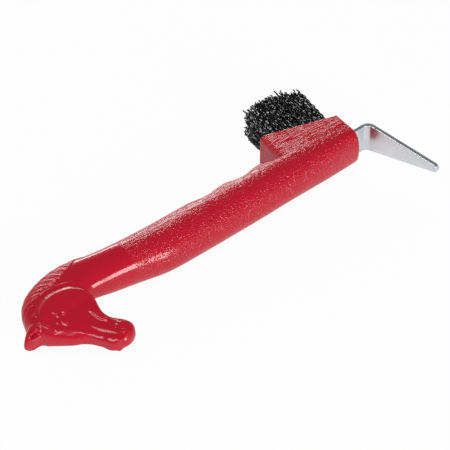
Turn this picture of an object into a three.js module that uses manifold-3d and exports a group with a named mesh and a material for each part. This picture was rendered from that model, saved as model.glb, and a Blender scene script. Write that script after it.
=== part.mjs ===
// A hoof pick with a stiff brush. One moulded handle ends in a horse's head; a bent steel pick is
// moulded into its other end, and the bristles stand in a wedge-shaped block beside the pick.
// The pick lies on its side. Millimetres, +Z up: +X points to the pick, +Y is the brush side.
// Until the last lines the end face of the handle is x = 0, the pick's strip is y = 0 and the
// mirror plane of the moulding is z = 0.

import * as THREE from "three";
import { mergeVertices } from "three/addons/utils/BufferGeometryUtils.js";
import Module from "manifold-3d";

const wasm = await Module();
wasm.setup();

// Fits and cuts
const clearance = 0.3; // between pieces that touch
const overrun = 1; // a cut runs past its face by this

// Grip
const gripLength = 131; // end face to the start of the smooth neck
const gripWidth = 24; // along Y
const gripThickness = 24; // along Z
const grooveReach = 10.6; // half the length of one finger groove
const grooveDepth = 3.4; // the deepest finger groove, beside the brush block

// Neck and head
const headReach = 69; // grip to the tip of the ear, along X
const headHeight = 57; // crest of the neck to the lip, along Y
const headThickness = 15.4; // across the cheeks

// Brush block
const blockLength = 38.2; // end face to the back wall, at the brush face
const blockFoot = 1.6; // the back wall leans out by this down to its foot
const blockThickness = 22; // along Z
const blockRootLow = 1; // its underside, inside the grip, above the strip at the end face
const blockRootHigh = 6; // and at the back wall
const blockLow = 11.6; // brush face above the strip at the end face
const blockHigh = 24; // and at the back wall
const blockCorner = 1; // radius between the brush face and the back wall
const blockSideRadius = 3; // radius between the back wall and the sides
const blockEdge = 0.6; // small round along the sides' edges

// Pick: a steel strip with one bend
const stripWidth = 16.9;
const stripGauge = 2;
const stripEdge = 0.3; // broken edges
const tangLength = 44; // inside the handle
const shankLength = 6.5; // straight stretch outside the handle
const bendRadius = 4.4; // to the middle of the gauge
const bendAngle = THREE.MathUtils.degToRad(73);
const bladeLength = 37.5; // bend to tip
const tipWidth = 5.2;

// Brush
const endMargin = 2.8; // bare brush face beside the end face
const backMargin = 4.9; // and beside the back wall
const sideMargin = 2.2; // and along the sides
const backingDepth = 1.2; // the layer that the bristles of a row share
const rowCount = 4;
const tuftCount = 5; // in a row
const tuftTilt = THREE.MathUtils.degToRad(3); // tufts lean towards the pick
const plugDiameter = 3;
const plugDepth = 7; // below the brush face
const bristleLength = 28.6; // the longest, above the brush face
const bristleThickness = 0.72;
const endTrim = 5.2; // the brush is cut round: half the field away along it, bristles lose this
const sideTrim = 2; // and this at the sides
const longestShare = 0.2; // the longest stand this far from the middle towards the pick
const cornerShare = 1.25; // how square the field's corners are: 2 fills them, 1 rounds them off
const sideSplay = 1; // tips of the outermost bristles lean out sideways by this
const endGather = 0.9; // and lean in by this at the ends
const bristleWander = 0.24; // each tip strays by up to this
const strandsAcross = 4; // in one row
const strandsAlong = 26;
const strayFold = 4321; // how thoroughly the strays are shuffled

// Tuft anchors: flat wire driven across each hole
const anchorGauge = 0.4;
const anchorHeight = 1.8;
const anchorWidth = 4.2;
const anchorRise = 1; // above the foot of the plug

// The brush face rises from the end face to the back wall, and the bristles' field lies on it
const faceRise = blockHigh - blockLow;
const faceSlope = Math.atan2(faceRise, blockLength);
const fieldLength = Math.hypot(faceRise, blockLength) - endMargin - backMargin;
const fieldWidth = blockThickness - 2 * sideMargin;
const rowPitch = fieldWidth / rowCount;
const tuftPitch = fieldLength / tuftCount;
const tuftLean = tuftTilt - faceSlope; // from the normal of the brush face

// Facets
const sectionSides = 24;
const gripStations = 38;
const neckStations = 14;
const headStations = 24;
const earStations = 10;
const edgeSteps = 2;
const plugSides = 8;
const bendSteps = 8;
const tipSteps = 5;
const curveSteps = 5;
const bristleSides = 3;

// Grip sections. Each row: along the grip as a share of gripLength, then the middle and half the
// width as shares of gripWidth, half the thickness as a share of gripThickness, and the squareness
// (2 is an ellipse).
const gripShares = [
  [0, 0.034, 0.288, 0.466, 2.6],
  [0.145, 0.096, 0.39, 0.473, 2.4],
  [0.29, 0.146, 0.462, 0.483, 2.1],
  [0.374, 0.146, 0.468, 0.492, 2],
  [0.45, 0.154, 0.484, 0.496, 2],
  [0.58, 0.165, 0.49, 0.5, 2],
  [0.733, 0.174, 0.5, 0.5, 2],
  [0.878, 0.213, 0.485, 0.484, 2],
  [1, 0.302, 0.444, 0.454, 2.1],
];

// Finger grooves: place as a share of gripLength, depth as a share of grooveDepth.
const grooveShares = [
  [0.292, 1],
  [0.454, 0.66],
  [0.616, 0.45],
];

// Neck, head and ear sections run between two edges of the side view. Each row: x and y of the
// outer edge, x and y of the inner edge, half the thickness, and the squareness. x counts from the
// end of the grip as a share of headReach, y from the strip as a share of headHeight, thickness as a
// share of headThickness.
const neckShares = [
  [0.174, 0.351, 0.181, -0.016, 0.63, 2.3],
  [0.348, 0.391, 0.341, 0.018, 0.539, 2.3],
  [0.478, 0.404, 0.428, -0.007, 0.494, 2.3],
  [0.609, 0.382, 0.493, -0.044, 0.455, 2.3],
  [0.729, 0.321, 0.558, -0.088, 0.435, 2.3],
  [0.814, 0.228, 0.616, -0.14, 0.422, 2.3],
  [0.867, 0.111, 0.688, -0.14, 0.4, 2.3],
  [0.892, 0.033, 0.76, -0.11, 0.36, 2.3],
  [0.895, -0.025, 0.825, -0.085, 0.3, 2.3],
];
const headShares = [
  [0.833, -0.14, 0.81, 0.11, 0.37, 4.2],
  [0.797, -0.181, 0.745, 0.156, 0.46, 4.6],
  [0.739, -0.233, 0.642, 0.203, 0.5, 4.8],
  [0.693, -0.274, 0.492, 0.172, 0.51, 4.8],
  [0.644, -0.302, 0.404, 0.075, 0.51, 4.6],
  [0.602, -0.348, 0.391, -0.048, 0.49, 4.2],
  [0.576, -0.39, 0.409, -0.145, 0.45, 3.8],
  [0.556, -0.428, 0.415, -0.21, 0.42, 3.4],
  [0.541, -0.478, 0.4, -0.275, 0.395, 3],
  [0.517, -0.52, 0.368, -0.322, 0.38, 2.8],
  [0.465, -0.541, 0.336, -0.362, 0.36, 2.6],
  [0.408, -0.535, 0.316, -0.402, 0.31, 2.5],
  [0.366, -0.516, 0.31, -0.438, 0.24, 2.4],
  [0.338, -0.496, 0.314, -0.463, 0.13, 2.2],
];
const earShares = [
  [0.862, 0.07, 0.806, -0.14, 0.37, 2.6],
  [0.892, 0.027, 0.86, -0.103, 0.38, 2.8],
  [0.93, -0.006, 0.906, -0.099, 0.33, 2.8],
  [0.954, -0.038, 0.943, -0.095, 0.24, 2.6],
  [0.974, -0.066, 0.967, -0.085, 0.12, 2.4],
];
const noseSquareness = 3.4; // at most, along the forehead and the bridge of the nose
const noseTaperShare = 0.2; // which are thinner than the jaw by this

// A solid for cutting and joining, from a closed geometry placed by a matrix.
function solidFrom(geometry, matrix = new THREE.Matrix4()) {
  const placed = geometry.clone().applyMatrix4(matrix);
  placed.deleteAttribute("normal");
  placed.deleteAttribute("uv");
  const merged = mergeVertices(placed);
  return new wasm.Manifold(
    new wasm.Mesh({
      numProp: 3,
      vertProperties: merged.attributes.position.array,
      triVerts: new Uint32Array(merged.index.array),
    }),
  );
}

function geometryFrom(solid) {
  const mesh = solid.getMesh();
  return new THREE.BufferGeometry()
    .setAttribute("position", new THREE.BufferAttribute(mesh.vertProperties, 3))
    .setIndex(new THREE.BufferAttribute(mesh.triVerts, 1));
}

// Closed skin through rings of equally many points, with a flat fan on each end.
function loft(rings) {
  const sides = rings[0].length;
  const points = rings.flat();
  const faces = [];
  const quad = (a, b, c, d) => faces.push(a, b, c, a, c, d);
  rings.slice(1).forEach((_, i) => {
    for (let k = 0; k < sides; k++) {
      const next = (k + 1) % sides;
      const near = i * sides;
      const far = near + sides;
      quad(near + k, near + next, far + next, far + k);
    }
  });
  const last = (rings.length - 1) * sides;
  for (let k = 1; k < sides - 1; k++) {
    faces.push(0, k + 1, k);
    faces.push(last, last + k, last + k + 1);
  }
  return new THREE.BufferGeometry().setFromPoints(points).setIndex(faces);
}

// Values at a place between the rows of a table, on a smooth curve through them.
function between(rows, place) {
  const last = rows.length - 1;
  const i = Math.min(Math.floor(place), last - 1);
  const t = place - i;
  return rows[i].map((_, column) => {
    const value = (k) => rows[THREE.MathUtils.clamp(k, 0, last)][column];
    const slopeIn = (value(i + 1) - value(i - 1)) / 2;
    const slopeOut = (value(i + 2) - value(i)) / 2;
    const step = value(i + 1) - value(i);
    const ease = t * t * (3 - 2 * t);
    return value(i) + step * ease + slopeIn * t * (1 - t) ** 2 - slopeOut * t * t * (1 - t);
  });
}

// Rows of [outer x, outer y, inner x, inner y, half thickness, squareness, the outer edge's
// squareness, taper] made into rings.
function ringsThrough(rows, stations, groove = () => 0) {
  const power = (value, squareness) => Math.sign(value) * Math.abs(value) ** (2 / squareness);
  return Array.from({ length: stations + 1 }, (_, station) => {
    const row = between(rows, (station / stations) * (rows.length - 1));
    const [outerX, outerY, innerX, innerY, half, squareness, outerSquareness, taper] = row;
    return Array.from({ length: sectionSides }, (_, k) => {
      const turn = (-2 * Math.PI * k) / sectionSides;
      const corner = Math.cos(turn) > 0 ? outerSquareness : squareness;
      const share = (1 + power(Math.cos(turn), corner)) / 2;
      const upward = power(Math.sin(turn), corner);
      const dip = groove(innerX) * Math.max(0, Math.cos(turn));
      return new THREE.Vector3(
        innerX + share * (outerX - innerX),
        innerY + share * (outerY - innerY) - dip,
        half * upward * (1 - taper * share),
      );
    });
  });
}

function headRows(shares, outerSquareness = Infinity, taper = 0) {
  return shares.map(([outX, outY, inX, inY, half, squareness]) => [
    -gripLength - headReach * outX,
    headHeight * outY,
    -gripLength - headReach * inX,
    headHeight * inY,
    headThickness * half,
    squareness,
    Math.min(squareness, outerSquareness),
    taper,
  ]);
}

function fingerGroove(x) {
  return grooveShares.reduce((sum, [place, depth]) => {
    const away = Math.abs(x + place * gripLength) / grooveReach;
    return sum + (away < 1 ? depth * grooveDepth * Math.cos((away * Math.PI) / 2) ** 2 : 0);
  }, 0);
}

const gripRows = gripShares.map(([along, middle, half, thickness, squareness]) => [
  -gripLength * along,
  gripWidth * (middle + half),
  -gripLength * along,
  gripWidth * (middle - half),
  gripThickness * thickness,
  squareness,
  squareness,
  0,
]);

function gripAndNeck() {
  const rows = [...gripRows, ...headRows(neckShares)];
  return loft(ringsThrough(rows, gripStations + neckStations, fingerGroove));
}

function head() {
  return loft(ringsThrough(headRows(headShares, noseSquareness, noseTaperShare), headStations));
}

function ear() {
  return loft(ringsThrough(headRows(earShares), earStations));
}

// The wedge that carries the brush: its side view, cut by its plan for the round back corners.
function brushBlock() {
  const half = blockThickness / 2;
  const side = new THREE.Shape();
  side.moveTo(0, blockRootLow);
  side.lineTo(0, blockLow);
  side.lineTo(-blockLength + 2 * blockCorner, blockHigh - (2 * blockCorner * faceRise) / blockLength);
  side.quadraticCurveTo(-blockLength, blockHigh, -blockLength, blockHigh - 2 * blockCorner);
  side.lineTo(-blockLength - blockFoot, blockRootHigh);
  const sideView = new THREE.ExtrudeGeometry(side, {
    depth: blockThickness - 2 * blockEdge,
    bevelThickness: blockEdge,
    bevelSize: blockEdge,
    bevelOffset: -blockEdge,
    bevelSegments: edgeSteps,
    curveSegments: curveSteps,
  }).translate(0, 0, blockEdge - half);
  const back = -blockLength - blockFoot;
  const plan = new THREE.Shape();
  plan.moveTo(overrun, -half - overrun);
  plan.lineTo(overrun, half + overrun);
  plan.lineTo(back + blockSideRadius, half + overrun);
  plan.lineTo(back + blockSideRadius, half);
  plan.quadraticCurveTo(back, half, back, half - blockSideRadius);
  plan.lineTo(back, blockSideRadius - half);
  plan.quadraticCurveTo(back, -half, back + blockSideRadius, -half);
  plan.lineTo(back + blockSideRadius, -half - overrun);
  const planView = new THREE.ExtrudeGeometry(plan, {
    depth: blockHigh + 2 * overrun,
    bevelEnabled: false,
    curveSegments: curveSteps,
  })
    .rotateX(Math.PI / 2)
    .translate(0, blockHigh + overrun, 0);
  return solidFrom(sideView).intersect(solidFrom(planView));
}

// The brush: a frame with +X down the slope, +Y out of the face and its middle at 0
const brush = new THREE.Group();
brush.position.set(-blockLength, blockHigh, 0);
brush.rotation.z = -faceSlope;
brush.translateX(backMargin + fieldLength / 2);
brush.updateMatrix();

const tuftAxis = new THREE.Vector3(Math.sin(tuftLean), Math.cos(tuftLean), 0);
const rowZ = (row) => (row - (rowCount - 1) / 2) * rowPitch;
const tuftX = (tuft) => (tuft - (tuftCount - 1) / 2) * tuftPitch;

// Matrix of a tuft's own frame: +Y along the tuft, 0 on the brush face.
function tuftFrame(row, tuft) {
  return new THREE.Matrix4()
    .makeRotationZ(-tuftLean)
    .setPosition(tuftX(tuft), 0, rowZ(row));
}

function tuftRod(diameter, depth, top) {
  return new THREE.CylinderGeometry(diameter / 2, diameter / 2, depth + top, plugSides).translate(
    0,
    (top - depth) / 2,
    0,
  );
}

const anchorMiddle = anchorRise + anchorHeight / 2 - plugDepth;

function anchorGeometry() {
  return new THREE.BoxGeometry(anchorWidth, anchorHeight, anchorGauge);
}

// What the handle gives up for the bristles: one recess, and a hole and an anchor's track for each tuft.
function brushCuts() {
  const recess = new THREE.BoxGeometry(
    fieldLength + 2 * clearance,
    backingDepth + clearance + overrun,
    fieldWidth + 2 * clearance,
  ).translate(0, (overrun - backingDepth - clearance) / 2, 0);
  let cuts = solidFrom(recess, brush.matrix);
  const hole = tuftRod(plugDiameter + 2 * clearance, plugDepth + clearance, 0);
  const trackLow = anchorMiddle - anchorHeight / 2 - clearance;
  const track = new THREE.BoxGeometry(
    anchorWidth + 2 * clearance,
    -trackLow - backingDepth,
    anchorGauge + 2 * clearance,
  ).translate(0, (trackLow - backingDepth) / 2, 0);
  for (let row = 0; row < rowCount; row++) {
    for (let tuft = 0; tuft < tuftCount; tuft++) {
      const place = brush.matrix.clone().multiply(tuftFrame(row, tuft));
      cuts = cuts.add(solidFrom(hole, place)).add(solidFrom(track, place));
    }
  }
  return cuts;
}

function handleGeometry() {
  const slot = new THREE.BoxGeometry(
    tangLength + clearance + overrun,
    stripGauge + 2 * clearance,
    stripWidth + 2 * clearance,
  ).translate((overrun - tangLength - clearance) / 2, 0, 0);
  return geometryFrom(
    solidFrom(gripAndNeck())
      .add(solidFrom(head()))
      .add(solidFrom(ear()))
      .add(brushBlock())
      .subtract(brushCuts())
      .subtract(solidFrom(slot)),
  );
}

// The strip's section with broken edges, at a point of its middle line.
function stripRing(x, y, turn, width) {
  const thick = stripGauge / 2;
  const wide = width / 2;
  const corners = [
    [thick, wide - stripEdge],
    [thick - stripEdge, wide],
    [stripEdge - thick, wide],
    [-thick, wide - stripEdge],
    [-thick, stripEdge - wide],
    [stripEdge - thick, -wide],
    [thick - stripEdge, -wide],
    [thick, stripEdge - wide],
  ];
  return corners.map(
    ([up, z]) => new THREE.Vector3(x + up * Math.sin(turn), y + up * Math.cos(turn), z),
  );
}

function pickGeometry() {
  const rings = [stripRing(-tangLength, 0, 0, stripWidth)];
  for (let step = 0; step <= bendSteps; step++) {
    const turn = (bendAngle * step) / bendSteps;
    const x = shankLength + bendRadius * Math.sin(turn);
    const y = bendRadius * (Math.cos(turn) - 1);
    rings.push(stripRing(x, y, turn, stripWidth));
  }
  const startX = shankLength + bendRadius * Math.sin(bendAngle);
  const startY = bendRadius * (Math.cos(bendAngle) - 1);
  const tipRadius = tipWidth / 2;
  const straight = bladeLength - tipRadius;
  for (let step = 0; step <= tipSteps; step++) {
    const turn = (Math.PI / 2) * (step / tipSteps) * (1 - stripEdge / tipRadius);
    const along = straight + tipRadius * Math.sin(turn);
    const x = startX + along * Math.cos(bendAngle);
    const y = startY - along * Math.sin(bendAngle);
    rings.push(stripRing(x, y, bendAngle, tipWidth * Math.cos(turn)));
  }
  return loft(rings);
}

// A repeatable number between -1 and 1 for each whole number.
function stray(seed) {
  const wave = Math.sin(seed) * strayFold;
  return 2 * (wave - Math.floor(wave)) - 1;
}

// One bristle as a three-sided rod from the backing to its trimmed tip.
function bristle(x, z, seed) {
  const endwise = (2 * x) / fieldLength;
  const sideways = (2 * z) / fieldWidth;
  const trim = endTrim * (endwise - longestShare) ** 2 + sideTrim * sideways ** 2;
  const tip = tuftAxis.clone().multiplyScalar(bristleLength - trim);
  tip.x += x - endwise * endGather + bristleWander * stray(seed);
  tip.z += z + sideways * sideSplay + bristleWander * stray(seed + rowCount);
  const foot = new THREE.Vector3(x, -backingDepth / 2, z);
  const rings = [foot, tip].map((middle) =>
    Array.from({ length: bristleSides }, (_, k) => {
      const turn = (2 * Math.PI * k) / bristleSides;
      return new THREE.Vector3(
        middle.x + (bristleThickness / 2) * Math.sin(turn),
        middle.y,
        middle.z + (bristleThickness / 2) * Math.cos(turn),
      );
    }),
  );
  return solidFrom(loft(rings));
}

// A row of tufts: bristles, the layer that joins them, and a folded root in each hole.
function bristleRowGeometry(row) {
  const width = rowPitch - clearance;
  const backing = new THREE.BoxGeometry(fieldLength, backingDepth, width).translate(
    0,
    -backingDepth / 2,
    rowZ(row),
  );
  const parts = [solidFrom(backing)];
  for (let tuft = 0; tuft < tuftCount; tuft++) {
    const window = new THREE.BoxGeometry(
      plugDiameter + 2 * overrun,
      anchorHeight + 2 * clearance,
      anchorGauge + 2 * clearance,
    ).translate(0, anchorMiddle, 0);
    const plug = tuftRod(plugDiameter, plugDepth, -backingDepth / 2);
    const place = tuftFrame(row, tuft);
    parts.push(solidFrom(plug, place).subtract(solidFrom(window, place)));
  }
  const stepX = (fieldLength - bristleThickness) / strandsAlong;
  const stepZ = width / strandsAcross;
  for (let i = 0; i < strandsAlong; i++) {
    for (let j = 0; j < strandsAcross; j++) {
      const shift = (j % 2 ? 1 : -1) * (stepX / 4);
      const x = (i - (strandsAlong - 1) / 2) * stepX + shift;
      const z = rowZ(row) + (j - (strandsAcross - 1) / 2) * stepZ;
      if (((2 * x) / fieldLength) ** 4 + ((2 * z) / fieldWidth) ** 4 > cornerShare) continue;
      parts.push(bristle(x, z, row * strandsAlong * strandsAcross + i * strandsAcross + j));
    }
  }
  return geometryFrom(parts.reduce((all, part) => all.add(part)));
}

const mouldedPlastic = new THREE.MeshStandardMaterial({ color: 0xb81428, roughness: 0.35 });
const platedSteel = new THREE.MeshStandardMaterial({
  color: 0xc4c8cc,
  roughness: 0.3,
  metalness: 1,
});
const bristleNylon = new THREE.MeshStandardMaterial({ color: 0x151516, roughness: 0.4 });
const anchorWire = new THREE.MeshStandardMaterial({
  color: 0xb9b3a4,
  roughness: 0.4,
  metalness: 1,
});

const model = new THREE.Group();

function piece(name, geometry, material, parent = model) {
  const mesh = new THREE.Mesh(geometry, material);
  mesh.name = name;
  parent.add(mesh);
  return mesh;
}

piece("handle", handleGeometry(), mouldedPlastic);
piece("pick_blade", pickGeometry(), platedSteel);
model.add(brush);
for (let row = 0; row < rowCount; row++) {
  piece(`bristle_row_${row + 1}`, bristleRowGeometry(row), bristleNylon, brush);
  for (let tuft = 0; tuft < tuftCount; tuft++) {
    const name = `tuft_anchor_${row + 1}_${tuft + 1}`;
    const anchor = piece(name, anchorGeometry(), anchorWire, brush);
    anchor.applyMatrix4(new THREE.Matrix4().makeTranslation(0, anchorMiddle, 0));
    anchor.applyMatrix4(tuftFrame(row, tuft));
  }
}

// Origin under the middle of the whole pick, on the surface that it lies on
const bounds = new THREE.Box3().setFromObject(model, true);
const middle = bounds.getCenter(new THREE.Vector3());
model.position.set(-middle.x, -middle.y, -bounds.min.z);

const hoofPick = new THREE.Group();
hoofPick.add(model);

export default hoofPick;
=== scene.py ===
"""A hoof pick with a stiff brush: a red moulded handle that ends in a horse's head, a bent steel
pick and a block of black crimped bristles. It lies on its side on a pale floor."""

import math

import bmesh
import bpy
import numpy as np
from bpy.props import FloatProperty, IntProperty, PointerProperty, StringProperty
from mathutils import Matrix, Vector


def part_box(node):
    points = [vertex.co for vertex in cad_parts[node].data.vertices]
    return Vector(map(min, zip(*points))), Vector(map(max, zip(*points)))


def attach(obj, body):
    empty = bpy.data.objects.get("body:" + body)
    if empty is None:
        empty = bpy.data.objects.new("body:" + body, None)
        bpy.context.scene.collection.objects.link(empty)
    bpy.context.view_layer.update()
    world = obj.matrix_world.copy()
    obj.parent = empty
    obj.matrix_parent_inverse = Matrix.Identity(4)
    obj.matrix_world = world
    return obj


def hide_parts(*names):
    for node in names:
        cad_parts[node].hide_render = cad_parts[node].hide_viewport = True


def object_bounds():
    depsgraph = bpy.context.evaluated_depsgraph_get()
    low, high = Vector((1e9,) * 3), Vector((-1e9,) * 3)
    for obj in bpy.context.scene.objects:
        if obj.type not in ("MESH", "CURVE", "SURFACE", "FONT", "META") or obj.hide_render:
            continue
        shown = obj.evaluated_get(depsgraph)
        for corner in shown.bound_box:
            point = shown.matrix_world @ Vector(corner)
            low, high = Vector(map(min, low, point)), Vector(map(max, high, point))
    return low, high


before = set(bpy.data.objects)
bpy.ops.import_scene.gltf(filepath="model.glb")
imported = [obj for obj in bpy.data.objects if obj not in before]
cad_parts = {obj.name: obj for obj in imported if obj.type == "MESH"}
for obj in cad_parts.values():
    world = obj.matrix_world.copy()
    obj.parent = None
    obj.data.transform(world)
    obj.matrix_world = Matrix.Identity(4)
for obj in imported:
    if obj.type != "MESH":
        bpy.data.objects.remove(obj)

bl_info = {
    "name": "Hoof Pick",
    "version": (1, 0, 0),
    "blender": (4, 5, 0),
    "location": "3D View > Sidebar > Hoof Pick",
    "description": "Builds a moulded hoof pick with a steel pick and a crimped brush",
    "category": "Object",
}

MM = 0.001
CAD_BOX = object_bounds()

# The strip's own frame: x = 0 is the handle's end face, y = 0 the middle of the steel strip and
# z = 0 the mirror plane of the moulding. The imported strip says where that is.
STRIP_GAUGE = 2 * MM
TANG_LENGTH = 44 * MM
PICK_LOW, PICK_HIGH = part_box("pick_blade")
ORIGIN = np.array(
    (
        PICK_LOW.x + TANG_LENGTH,
        PICK_HIGH.y - STRIP_GAUGE / 2,
        (PICK_LOW.z + PICK_HIGH.z) / 2,
    )
)

# Grip sections. Each row: along the grip as a share of its length, then the middle and half the
# width as shares of its width, half the thickness as a share of its thickness, and the squareness
# (2 is an ellipse).
GRIP_SHARES = (
    (0, 0.034, 0.288, 0.466, 2.6),
    (0.145, 0.096, 0.39, 0.473, 2.4),
    (0.29, 0.146, 0.462, 0.483, 2.1),
    (0.374, 0.146, 0.468, 0.492, 2),
    (0.45, 0.154, 0.484, 0.496, 2),
    (0.58, 0.165, 0.49, 0.5, 2),
    (0.733, 0.184, 0.5, 0.5, 2),
    (0.878, 0.209, 0.5, 0.488, 2),
    (1, 0.302, 0.444, 0.454, 2.1),
)
# The block starts inside the grip, and its blank is this much higher than the brush face.
BLOCK_START = 2 * MM
BLOCK_SPARE = 4 * MM
# Finger grooves: place as a share of the grip's length, depth as a share of the deepest.
FINGER_SHARES = ((0.292, 1), (0.454, 0.66), (0.616, 0.45))
# Neck, head and ear sections run between two edges of the side view. Each row: x and y of the
# outer edge, x and y of the inner edge, and half the thickness, as shares of the head's reach,
# height and thickness, then the squareness. x counts from the end of the grip, y from the strip.
NECK_SHARES = (
    (0.174, 0.341, 0.181, -0.016, 0.63, 2.3),
    (0.348, 0.391, 0.341, 0.018, 0.539, 2.3),
    (0.478, 0.404, 0.428, -0.007, 0.494, 2.3),
    (0.609, 0.382, 0.493, -0.044, 0.455, 2.3),
    (0.729, 0.321, 0.558, -0.088, 0.435, 2.3),
    (0.814, 0.228, 0.616, -0.14, 0.422, 2.3),
    (0.867, 0.111, 0.688, -0.14, 0.4, 2.3),
    (0.892, 0.033, 0.76, -0.11, 0.36, 2.3),
    (0.895, -0.025, 0.825, -0.085, 0.3, 2.3),
)
HEAD_SHARES = (
    (0.833, -0.14, 0.81, 0.11, 0.37, 4.2),
    (0.797, -0.181, 0.745, 0.156, 0.46, 4.6),
    (0.739, -0.24, 0.642, 0.203, 0.5, 4.8),
    (0.693, -0.286, 0.492, 0.172, 0.51, 4.8),
    (0.644, -0.314, 0.404, 0.075, 0.51, 4.6),
    (0.602, -0.357, 0.391, -0.048, 0.49, 4.2),
    (0.576, -0.405, 0.409, -0.145, 0.45, 3.8),
    (0.556, -0.44, 0.415, -0.21, 0.42, 3.4),
    (0.541, -0.484, 0.4, -0.275, 0.395, 3),
    (0.517, -0.522, 0.368, -0.322, 0.38, 2.8),
    (0.468, -0.544, 0.336, -0.362, 0.36, 2.6),
    (0.414, -0.552, 0.316, -0.402, 0.31, 2.5),
    (0.37, -0.54, 0.31, -0.438, 0.25, 2.4),
    (0.336, -0.515, 0.314, -0.463, 0.15, 2.2),
)
EAR_SHARES = (
    (0.862, 0.07, 0.806, -0.14, 0.37, 2.6),
    (0.892, 0.027, 0.86, -0.103, 0.38, 2.8),
    (0.93, -0.006, 0.906, -0.099, 0.33, 2.8),
    (0.954, -0.038, 0.943, -0.095, 0.24, 2.6),
    (0.974, -0.066, 0.967, -0.085, 0.12, 2.4),
)
# The head's outer edge, row by row from the forehead to the lip: its squareness, and how much
# thinner the head is there than at its inner edge
NOSE_SQUARENESS = (3.4, 3.4, 3.4, 3.4, 3.6, 4.8, 6, 6, 5, 3.4, 2.8, 2.6, 2.5, 2.3)
NOSE_TAPER = (0.03, 0.25, 0.34, 0.4, 0.42, 0.5, 0.54, 0.5, 0.4, 0.3, 0.2, 0.15, 0.15, 0.15)

# How many rings each loft has, and how many points a ring has.
GRIP_MESH = (260, 96)
HEAD_MESH = (130, 120)
EAR_MESH = (50, 96)
HOLLOW_RATE = 1.15  # the ear's hollow runs out this much faster than the ear

# Side-view places of what is modelled on the head and neck, in millimetres in the strip's frame.
CHEEK_MIDDLE = (-171, -4)
CHEEK_STEP = (-1.7, 0.7)  # the plate's edge, from inside its rim to outside it
CHEEK_FADE = (-4.5, 1)  # the heights between which the plate fades out towards the mouth
EAR_FOOT = (-187.5, -9)
EAR_FOOT_REACH = 3.2
CHEEK_RIM = (
    (-187, -0.5),
    (-185.3, 2.7),
    (-182.5, 5.6),
    (-179, 7.4),
    (-175.3, 8.7),
    (-171.2, 8.9),
    (-166.4, 7.9),
    (-163, 6),
    (-160.3, 3.3),
    (-159, 0.6),
    (-158.9, -3),
)
# Partings of the mane, each from the crest down the side of the neck, from the ears to the grip.
MANE_PARTINGS = (
    ((-194.2, -0.5), (-191.4, 3), (-188.8, 4.9), (-186.3, 5.9), (-183.9, 6.8)),
    ((-193.6, 4.5), (-190, 7.4), (-187.2, 9.4), (-184.4, 10.2), (-181.6, 10.3)),
    ((-191.8, 9.2), (-188, 11.8), (-184.9, 13.2), (-181.6, 12.9), (-178, 12)),
    ((-189, 14), (-185, 15.6), (-181.6, 15.6), (-178.4, 14.2), (-174.4, 12.4)),
    ((-184.8, 18.6), (-180.6, 18), (-177.6, 16.6), (-174.6, 14.9), (-171.4, 12.4)),
    ((-180.6, 21.6), (-176.4, 19.6), (-173.2, 17.6), (-170, 15.2), (-167.3, 12.2)),
    ((-176.2, 23.2), (-172.2, 20.4), (-169.2, 18.2), (-166.6, 15.4), (-163.9, 12.2)),
    ((-171.6, 24.4), (-167.6, 21.4), (-165, 19.2), (-163, 17), (-161.2, 14)),
    ((-166.4, 25.2), (-162.6, 22.4), (-160.4, 20), (-158.6, 17.6), (-156.4, 14.9)),
    ((-160.6, 25.8), (-157.2, 22.8), (-155.4, 20.8), (-153.9, 18.6), (-152.4, 16.3)),
    ((-154.6, 26), (-151.6, 23.2), (-150.4, 21.4), (-149.6, 19.4), (-148.8, 16.8)),
    ((-149.2, 26), (-147, 23.4), (-146.2, 21.8), (-145.6, 20.2), (-145.2, 18.4)),
)
# How the locks fade: at the mane's edge, by the gap between two partings as a share of the widest;
# from the crest, as a share of a lock's length; at the tip, where every second lock is shorter and
# each is round; and behind the ears and at the grip, in locks.
MANE_EDGE = (1.05, 1.35)
MANE_CREST = (0.02, 0.4)
LOCK_STAGGER = 0.07
LOCK_ROUND = 0.16
LOCK_TIP = 0.08
MANE_BEHIND_EARS = 1.5
MANE_AT_GRIP = 0.3
# Share of the mane's height that is the same across a lock, and share that its middle adds.
LOCK_FLAT = 0.55
LOCK_CROWN = 0.45
# Fine relief of the head. Each row: a line of places (x, y and height above the mirror plane), its
# rise, and half its width at its start and at its end, all in millimetres. A negative rise is a
# groove.
BROW = ((-179.5, 0.2, 6.5), (-177.9, -1.5, 6.4), (-176.3, -3.1, 6.2), (-175.5, -4.2, 6.1))
UPPER_LID = ((-179.2, -2.8, 6.2), (-177.7, -3.8, 6.1), (-177.2, -5.8, 5.9))
LOWER_LID = ((-179, -5.2, 5.9), (-178.2, -6.4, 5.8), (-178.2, -8.2, 5.5), (-176.3, -9.9, 5.2))
CHEEK_RIDGE = (
    (-165.2, -7.9, 6.2),
    (-164.4, -11.1, 5.8),
    (-163.8, -13.9, 5.5),
    (-162.8, -16.4, 5.4),
    (-160.4, -19, 5.1),
)
CHEEK_GROOVE = (
    (-166.3, -8.5, 6.2),
    (-165.5, -11.7, 5.8),
    (-164.9, -14.5, 5.5),
    (-163.9, -17, 5.3),
    (-161.5, -19.8, 5),
)
NOSE_GROOVE = (
    (-169.6, -13.8, 4.9),
    (-167.7, -18, 4.6),
    (-165.9, -20.9, 4.6),
    (-163.6, -24.2, 4.8),
    (-161.4, -26.8, 4.8),
    (-159.1, -27.5, 4.8),
)
TEMPLE = (
    (-183.5, -8.3, 5.1),
    (-180.9, -10, 4.9),
    (-177.9, -12, 4.6),
    (-174.7, -15.2, 3.8),
    (-172.5, -19, 3.1),
)
NOSTRIL_WING = ((-161.6, -22.7, 5.1), (-159.4, -24.2, 5.1), (-157, -24.1, 5))
NOSTRIL_TOP = ((-159.4, -22.7, 5.2), (-157.3, -23, 5), (-155.4, -23.8, 4.7))
FOREHEAD = ((-188.5, -0.6, 5.6), (-186.7, -4, 5.7), (-184.9, -7.2, 5.1))
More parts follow.
